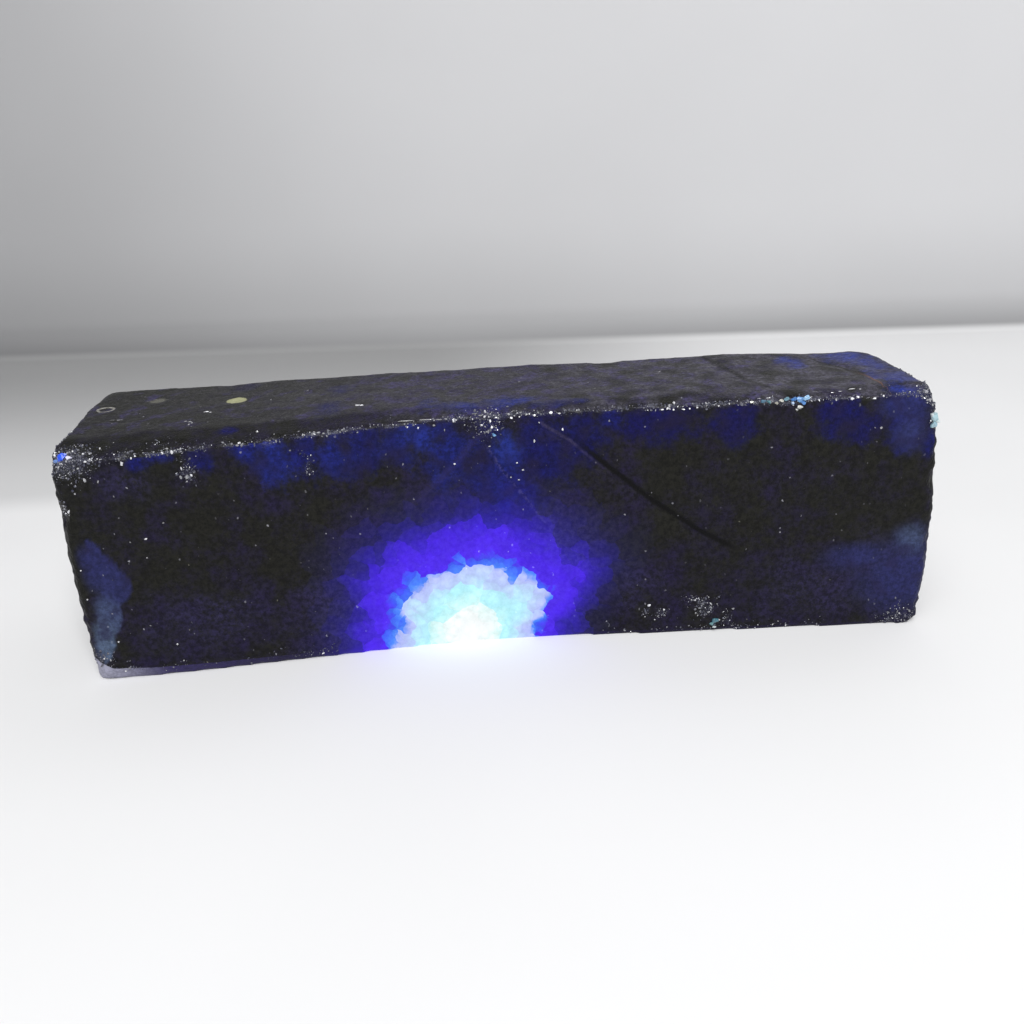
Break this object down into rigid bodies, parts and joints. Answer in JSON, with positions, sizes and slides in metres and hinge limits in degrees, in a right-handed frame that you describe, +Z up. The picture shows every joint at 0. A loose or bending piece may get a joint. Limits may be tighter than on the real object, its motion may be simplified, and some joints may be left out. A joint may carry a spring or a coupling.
{
  "type": "rough sapphire",
  "caption": "Long sawn block of rough deep blue sapphire with chipped arrises, a notch and open cracks, standing on its flat base",
  "frame": {"origin": "middle of the bounding box's bottom, on the surface that the stone rests on", "axes": "+X along the stone's length, -Y towards its sawn front face, +Z up"},
  "size_m": [0.1486, 0.0372, 0.0434],
  "materials": {
    "sapphire": "sawn and worn rough corundum, near black by daylight with dark blue patches and pale bruises"
  },
  "bodies": {
    "root": {"sapphire_block": "sapphire"}
  },
  "joints": []
}
